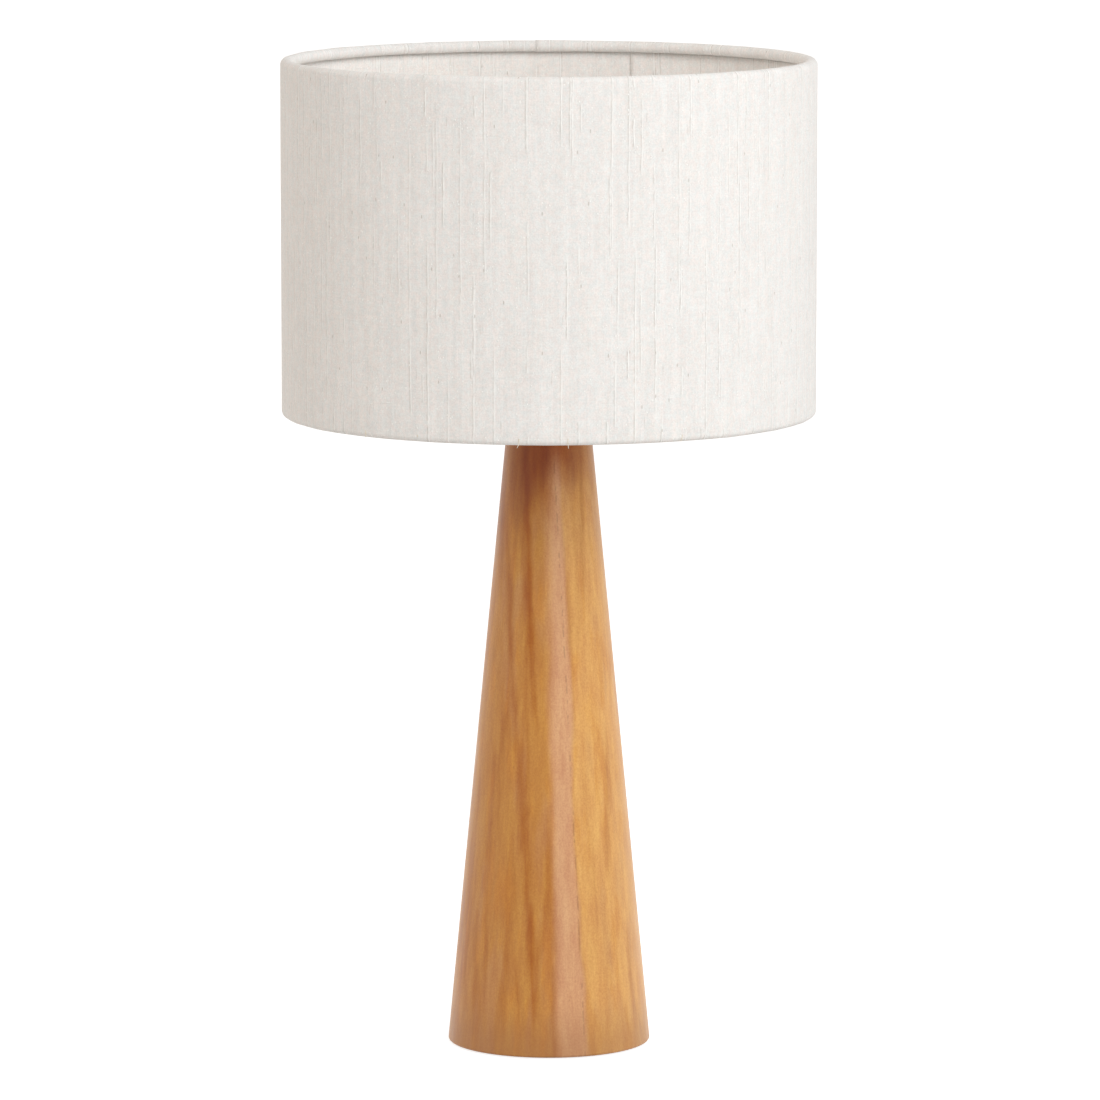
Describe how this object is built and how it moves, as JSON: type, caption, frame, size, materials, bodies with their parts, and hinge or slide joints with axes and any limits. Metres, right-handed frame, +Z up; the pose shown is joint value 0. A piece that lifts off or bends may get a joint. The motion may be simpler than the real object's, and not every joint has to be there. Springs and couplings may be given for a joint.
{
  "type": "table lamp",
  "caption": "Column table lamp: turned conical wooden foot, E27 lampholder with threaded shade rings, and a drum shade of linen on a wire frame.",
  "frame": {"origin": "middle of the foot's resting face", "axes": "+Z up along the column, -Y to the front as pictured, +Y to the back, where the shade's seam and the cable bush are"},
  "size_m": [0.3, 0.3005, 0.558],
  "materials": {
    "wood": "honey-stained hardwood, satin lacquer",
    "felt": "black felt",
    "fibreboard": "raw hardboard",
    "zinc": "zinc-plated steel",
    "black_plastic": "moulded nylon",
    "holder_white": "moulded thermoplastic, satin",
    "insulator_cream": "moulded insulator",
    "brass": "plain brass",
    "solder": "tinned contact",
    "bulb_glass": "black insulator",
    "bulb_shell": "nickel-plated shell",
    "bulb_white": "white housing",
    "opal": "frosted opal diffuser",
    "board_white": "white solder mask",
    "frame_white": "white epoxy-coated steel wire",
    "panel_film": "laminating film",
    "linen_lining": "off-white linen",
    "linen": "off-white slub linen"
  },
  "bodies": {
    "stand": {"column": "wood", "base_pad": "felt", "base_cover": "fibreboard", "base_cover_screws": "zinc", "cable_bush": "black_plastic", "column_tube": "zinc", "tube_washer": "zinc", "tube_nut": "zinc", "top_washer": "zinc", "holder_cap": "holder_white", "holder_lock_screw": "zinc", "holder_core": "insulator_cream", "terminal_blocks": "brass", "terminal_screws": "zinc", "centre_contact": "brass", "side_contact": "brass", "holder_skirt": "holder_white"},
    "shade_carrier": {"lower_ring": "holder_white"},
    "clamp_ring": {"upper_ring": "holder_white"},
    "shade": {"fitter_plate": "frame_white", "fitter_arms": "frame_white", "top_frame_ring": "frame_white", "bottom_frame_ring": "frame_white", "shade_panel": "panel_film", "shade_lining": "linen_lining", "shade_cover": "linen"},
    "bulb_contact": {"bulb_tip": "solder"},
    "bulb": {"bulb_insulator": "bulb_glass", "bulb_cap": "bulb_shell", "bulb_body": "bulb_white", "bulb_dome": "opal", "bulb_led_board": "board_white"}
  },
  "joints": [
    {"name": "shade_height", "type": "slide", "parent": "stand", "child": "shade_carrier", "axis": [0, 0, 1], "range_m": [0, 0.015]},
    {"name": "upper_ring_turn", "type": "hinge", "parent": "shade_carrier", "child": "clamp_ring", "pos_m": [0, 0, 0.394], "axis": [0, 0, 1], "range_deg": [0, 2160]},
    {"name": "shade_turn", "type": "hinge", "parent": "shade_carrier", "child": "shade", "pos_m": [0, 0, 0.393], "axis": [0, 0, 1], "continuous": true},
    {"name": "bulb_climb", "type": "slide", "parent": "stand", "child": "bulb_contact", "axis": [0, 0, 1], "range_m": [0, 0.01814]},
    {"name": "bulb_turn", "type": "hinge", "parent": "bulb_contact", "child": "bulb", "pos_m": [0, 0, 0.42], "axis": [0, 0, 1], "range_deg": [0, 1801]}
  ],
  "couplings": [
    {"joint": "upper_ring_turn", "follows": "shade_height", "rad_per_m": 2513.3},
    {"joint": "bulb_turn", "follows": "bulb_climb", "rad_per_m": 1731.6}
  ]
}
